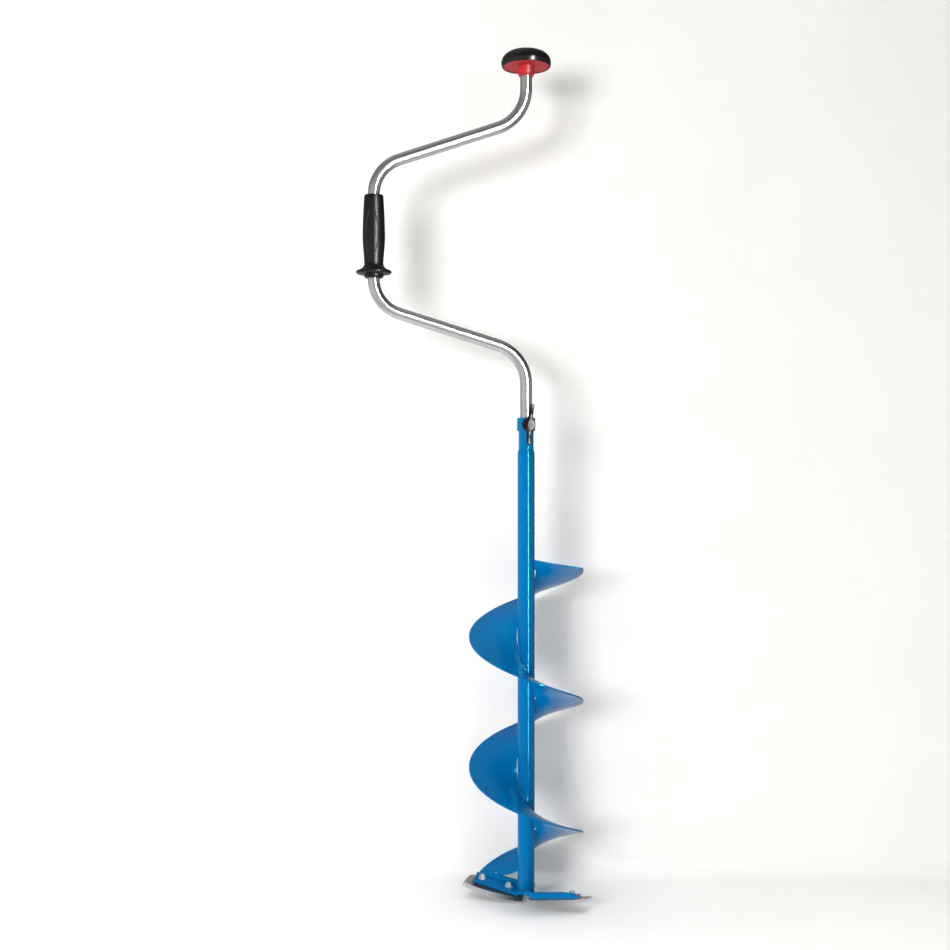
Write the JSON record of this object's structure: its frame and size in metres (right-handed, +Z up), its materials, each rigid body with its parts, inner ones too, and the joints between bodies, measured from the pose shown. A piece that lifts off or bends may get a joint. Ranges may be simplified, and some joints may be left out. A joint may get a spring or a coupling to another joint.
{
  "type": "hand ice auger",
  "caption": "Hand-cranked ice auger: spiral flight with a bladed cutting head on a tube, telescoping bent crank with a spinning grip and top knob, and a wing-screw clamp.",
  "frame": {"origin": "middle of the shaft tube's flat bottom end, on the drill's axis", "axes": "+Z up the drill's axis to the knob, -X towards the crank's grip, -Y towards the clamp's wing screw"},
  "size_m": [0.357, 0.1739, 1.2896],
  "materials": {
    "blue_paint": "gloss",
    "chrome_tube": "polished",
    "bright_steel": "zinc plated",
    "blade_steel": "satin",
    "black_plastic": "satin",
    "black_rubber": "matt textured",
    "red_plastic": "satin",
    "white_nylon": "satin",
    "brass": "satin"
  },
  "bodies": {
    "auger": {"outer_tube": "blue_paint", "clamp_collar": "blue_paint", "shaft_end_plug": "blue_paint", "flight": "blue_paint", "blade_holder_right": "blue_paint", "blade_holder_left": "blue_paint", "blade_right": "blade_steel", "blade_left": "blade_steel", "blade_screw_right_inner": "bright_steel", "blade_screw_right_outer": "bright_steel", "blade_screw_left_inner": "bright_steel", "blade_screw_left_outer": "bright_steel", "nut_right_inner": "bright_steel", "nut_right_outer": "bright_steel", "nut_left_inner": "bright_steel", "nut_left_outer": "bright_steel"},
    "slider": {"guide_bush": "white_nylon"},
    "crank": {"crank_tube": "chrome_tube", "crank_end_cap": "black_plastic", "bush_retaining_ring": "bright_steel", "crank_screw_insert": "bright_steel", "knob_washer": "bright_steel", "knob_screw": "bright_steel"},
    "grip": {"hand_grip": "black_rubber"},
    "knob": {"knob_cap": "black_plastic", "knob_base": "red_plastic"},
    "pad": {"clamp_pad": "brass"},
    "wing": {"wing_knob": "black_plastic", "clamp_stud": "bright_steel"}
  },
  "joints": [
    {"name": "crank_slide", "type": "slide", "parent": "auger", "child": "slider", "axis": [0, 0, 1], "range_m": [-0.02, 0.22]},
    {"name": "crank_swivel", "type": "hinge", "parent": "slider", "child": "crank", "pos_m": [0, 0, 0.5], "axis": [0, 0, 1], "continuous": true},
    {"name": "grip_spin", "type": "hinge", "parent": "crank", "child": "grip", "pos_m": [-0.2315, 0, 0.996], "axis": [0, 0, 1], "continuous": true},
    {"name": "knob_spin", "type": "hinge", "parent": "crank", "child": "knob", "pos_m": [0, 0, 1.2542], "axis": [0, 0, 1], "continuous": true},
    {"name": "clamp_travel", "type": "slide", "parent": "auger", "child": "pad", "axis": [0.1564, -0.9877, 0], "range_m": [0, 0.0025]},
    {"name": "clamp_turn", "type": "hinge", "parent": "pad", "child": "wing", "pos_m": [0, 0, 0.71], "axis": [0.1564, -0.9877, 0], "range_deg": [0, 720]}
  ],
  "couplings": [
    {"joint": "clamp_travel", "follows": "clamp_turn", "m_per_rad": 0.000198}
  ]
}
